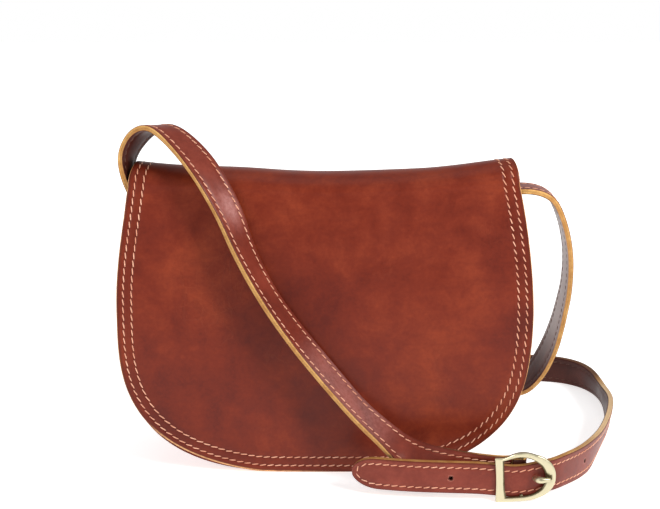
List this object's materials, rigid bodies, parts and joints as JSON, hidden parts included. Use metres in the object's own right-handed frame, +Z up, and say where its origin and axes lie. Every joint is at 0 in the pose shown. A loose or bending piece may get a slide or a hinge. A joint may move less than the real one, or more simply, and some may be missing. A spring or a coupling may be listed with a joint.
{
  "type": "half moon crossbody bag",
  "caption": "Leather half moon crossbody bag with a stitched flap, standing upright, its long strap fastened by a D buckle and looped on the floor beside it.",
  "frame": {"origin": "middle of the bag's flat bottom, on the floor", "axes": "+X across the bag towards the looped strap, -Y out of the flap's front, +Z up"},
  "size_m": [0.352, 0.2225, 0.2318],
  "materials": {
    "bag_leather": "semi-gloss, mottled chestnut",
    "strap_leather": "semi-gloss chestnut with raw tan edges",
    "antique_brass": "pale antique, satin"
  },
  "bodies": {
    "root": {"flap": "bag_leather", "front_panel": "bag_leather", "back_panel": "bag_leather", "gusset": "bag_leather", "tab_left": "strap_leather", "tab_right": "strap_leather", "strap_buckle_side": "strap_leather", "strap_tip_side": "strap_leather", "ring_left": "antique_brass", "ring_right": "antique_brass", "buckle_frame": "antique_brass", "buckle_prong": "antique_brass"}
  },
  "joints": []
}
